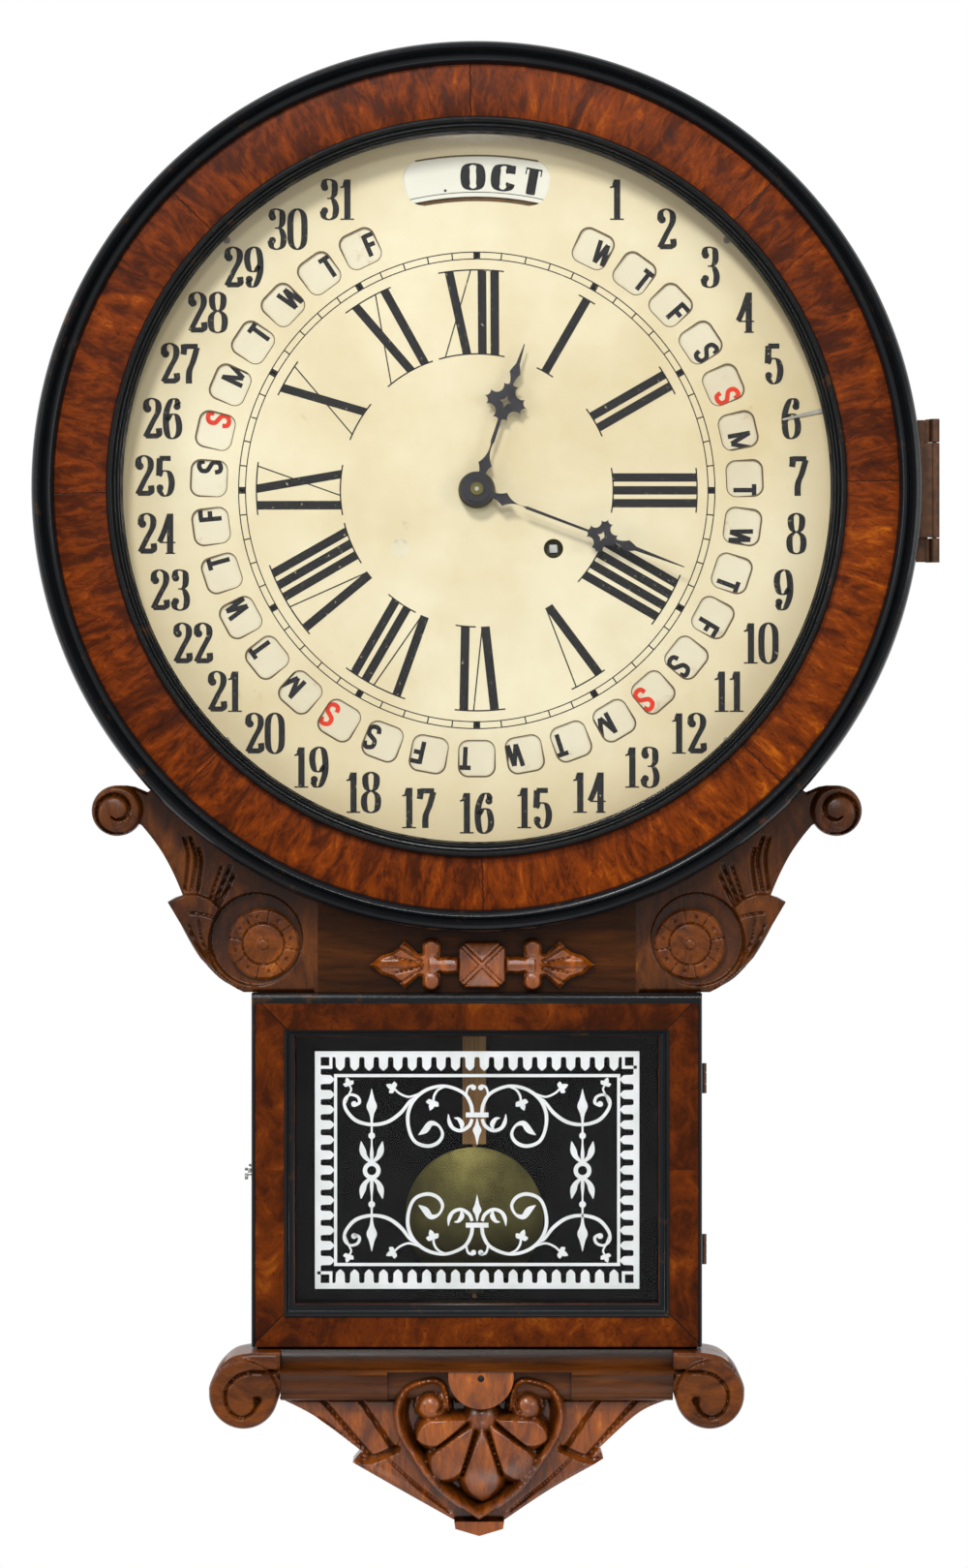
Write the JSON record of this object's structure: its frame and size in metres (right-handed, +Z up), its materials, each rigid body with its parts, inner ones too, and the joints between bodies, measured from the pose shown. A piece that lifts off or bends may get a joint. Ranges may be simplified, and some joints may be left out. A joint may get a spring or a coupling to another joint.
{
  "type": "calendar wall clock",
  "caption": "Round-headed calendar wall clock with a veneered bezel, date dial, carved ears, glazed pendulum door and a carved bracket below.",
  "frame": {"origin": "on the wall plane, behind the arbor that carries the hands", "axes": "+X to the viewer's right, +Y into the wall (the front faces -Y), +Z up"},
  "size_m": [0.5116, 0.118, 0.838],
  "materials": {
    "ebonised_wood": "black stained and french polished, worn",
    "burl_veneer": "pieced burl walnut veneer, french polished",
    "carved_wood": "carved walnut, brown polished",
    "secondary_wood": "plain softwood, unpolished",
    "rod_wood": "varnished straight-grained wood",
    "glass": "clear old glass",
    "dial_paper": "aged cream paper on sheet zinc",
    "ring_card": "aged printed card",
    "blued_steel": "blued nearly black, satin",
    "steel": "bright steel",
    "iron": "browned iron",
    "brass": "lacquered brass, slightly tarnished",
    "putty": "dry glazing putty"
  },
  "bodies": {
    "case": {"backboard": "secondary_wood", "head_drum": "ebonised_wood", "box_sides": "burl_veneer", "throat_board": "carved_wood", "ears": "carved_wood", "ear_rosettes": "carved_wood", "throat_ornament": "carved_wood", "shelf_moulding": "carved_wood", "shelf_scrolls": "carved_wood", "apron_bracket": "carved_wood", "cartouche_scroll": "carved_wood", "shell_carving": "carved_wood", "keystone_boss": "carved_wood", "drop_finial": "carved_wood", "wall_hanger": "steel", "wood_screws": "steel", "case_hinge_plates": "iron", "dial_board": "secondary_wood", "dial_plate": "dial_paper", "ring_guide_studs": "brass", "hole_plug": "dial_paper", "movement_plates": "brass", "movement_pillars": "brass", "suspension_post": "brass"},
    "bezel": {"bezel_ring": "burl_veneer", "bezel_outer_moulding": "ebonised_wood", "bezel_inner_moulding": "ebonised_wood", "bezel_glass": "glass", "bezel_putty": "putty", "bezel_hinge_leaf": "iron", "bezel_catch_stud": "steel"},
    "pendulum_door": {"door_frame": "burl_veneer", "door_outer_bead": "ebonised_wood", "door_inner_moulding": "ebonised_wood", "door_glass": "glass", "door_hinge_leaves": "iron", "door_catch_stud": "steel"},
    "bezel_hook": {"bezel_hook": "brass"},
    "door_hook": {"door_hook": "brass"},
    "minute_train": {"minute_hand": "blued_steel", "hand_nut": "brass", "centre_arbor": "steel"},
    "hour_train": {"hour_hand": "blued_steel", "hour_wheel": "brass"},
    "motion_wheel": {"motion_wheel": "brass"},
    "day_wheel": {"day_wheel": "brass"},
    "date_lever": {"date_lever": "steel"},
    "great_wheel": {"great_wheel": "brass", "mainspring": "steel"},
    "winding_arbor": {"winding_arbor": "steel"},
    "third_wheel": {"third_wheel": "brass"},
    "escape_wheel": {"escape_wheel": "brass"},
    "verge": {"verge_crutch": "steel"},
    "pendulum": {"pendulum_rod": "rod_wood", "pendulum_bob": "brass", "rating_nut": "brass", "suspension_spring": "steel"},
    "weekday_ring": {"weekday_ring": "ring_card"},
    "month_ring": {"month_ring": "ring_card"},
    "date_ring": {"date_ring": "steel"}
  },
  "joints": [
    {"name": "bezel_door", "type": "hinge", "parent": "case", "child": "bezel", "pos_m": [0.2587, -0.091, 0], "axis": [0, 0, 1], "range_deg": [0, 110]},
    {"name": "lower_door", "type": "hinge", "parent": "case", "child": "pendulum_door", "pos_m": [0.1289, -0.08, -0.382], "axis": [0, 0, 1], "range_deg": [0, 110]},
    {"name": "bezel_hook_swing", "type": "hinge", "parent": "case", "child": "bezel_hook", "pos_m": [-0.2459, -0.06, 0], "axis": [-1, 0, 0], "range_deg": [0, 70]},
    {"name": "door_hook_swing", "type": "hinge", "parent": "case", "child": "door_hook", "pos_m": [-0.1284, -0.06, -0.387], "axis": [-1, 0, 0], "range_deg": [0, 70]},
    {"name": "minute_hand_turn", "type": "hinge", "parent": "case", "child": "minute_train", "pos_m": [0, 0, 0], "axis": [0, 1, 0], "continuous": true},
    {"name": "hour_hand_turn", "type": "hinge", "parent": "case", "child": "hour_train", "pos_m": [0, 0, 0], "axis": [0, 1, 0], "continuous": true},
    {"name": "motion_wheel_turn", "type": "hinge", "parent": "case", "child": "motion_wheel", "pos_m": [-0.01443, 0, -0.01443], "axis": [0, 1, 0], "continuous": true},
    {"name": "day_wheel_turn", "type": "hinge", "parent": "case", "child": "day_wheel", "pos_m": [0.02598, 0, 0.015], "axis": [0, 1, 0], "continuous": true},
    {"name": "great_wheel_turn", "type": "hinge", "parent": "case", "child": "great_wheel", "pos_m": [0.0435, 0, -0.033], "axis": [0, 1, 0], "continuous": true},
    {"name": "third_wheel_turn", "type": "hinge", "parent": "case", "child": "third_wheel", "pos_m": [-0.01408, 0, 0.03117], "axis": [0, 1, 0], "continuous": true},
    {"name": "escape_wheel_turn", "type": "hinge", "parent": "case", "child": "escape_wheel", "pos_m": [-0.0016, 0, 0.0564], "axis": [0, 1, 0], "continuous": true},
    {"name": "winding_turn", "type": "hinge", "parent": "great_wheel", "child": "winding_arbor", "pos_m": [0.0435, 0, -0.033], "axis": [0, 1, 0], "continuous": true},
    {"name": "pendulum_swing", "type": "hinge", "parent": "case", "child": "pendulum", "pos_m": [-0.0016, 0, 0.0884], "axis": [0, 1, 0], "range_deg": [-3, 3]},
    {"name": "verge_rock", "type": "hinge", "parent": "case", "child": "verge", "pos_m": [-0.0016, 0, 0.0884], "axis": [0, 1, 0], "range_deg": [-3, 3]},
    {"name": "weekday_ring_turn", "type": "hinge", "parent": "case", "child": "weekday_ring", "pos_m": [0, 0, 0], "axis": [0, 1, 0], "continuous": true},
    {"name": "month_ring_turn", "type": "hinge", "parent": "case", "child": "month_ring", "pos_m": [0, 0, 0], "axis": [0, 1, 0], "continuous": true},
    {"name": "date_ring_turn", "type": "hinge", "parent": "case", "child": "date_ring", "pos_m": [0, 0, 0], "axis": [0, 1, 0], "continuous": true},
    {"name": "date_lever_lift", "type": "hinge", "parent": "case", "child": "date_lever", "pos_m": [0.052, -0.07, 0.04], "axis": [0, -1, 0], "range_deg": [0, 16]}
  ],
  "couplings": [
    {"joint": "hour_hand_turn", "follows": "minute_hand_turn", "ratio": 0.083333},
    {"joint": "motion_wheel_turn", "follows": "minute_hand_turn", "ratio": -0.33333},
    {"joint": "day_wheel_turn", "follows": "minute_hand_turn", "ratio": -0.041667},
    {"joint": "great_wheel_turn", "follows": "minute_hand_turn", "ratio": -0.095238},
    {"joint": "third_wheel_turn", "follows": "minute_hand_turn", "ratio": -8},
    {"joint": "escape_wheel_turn", "follows": "minute_hand_turn", "ratio": 60},
    {"joint": "verge_rock", "follows": "pendulum_swing", "ratio": 1}
  ]
}
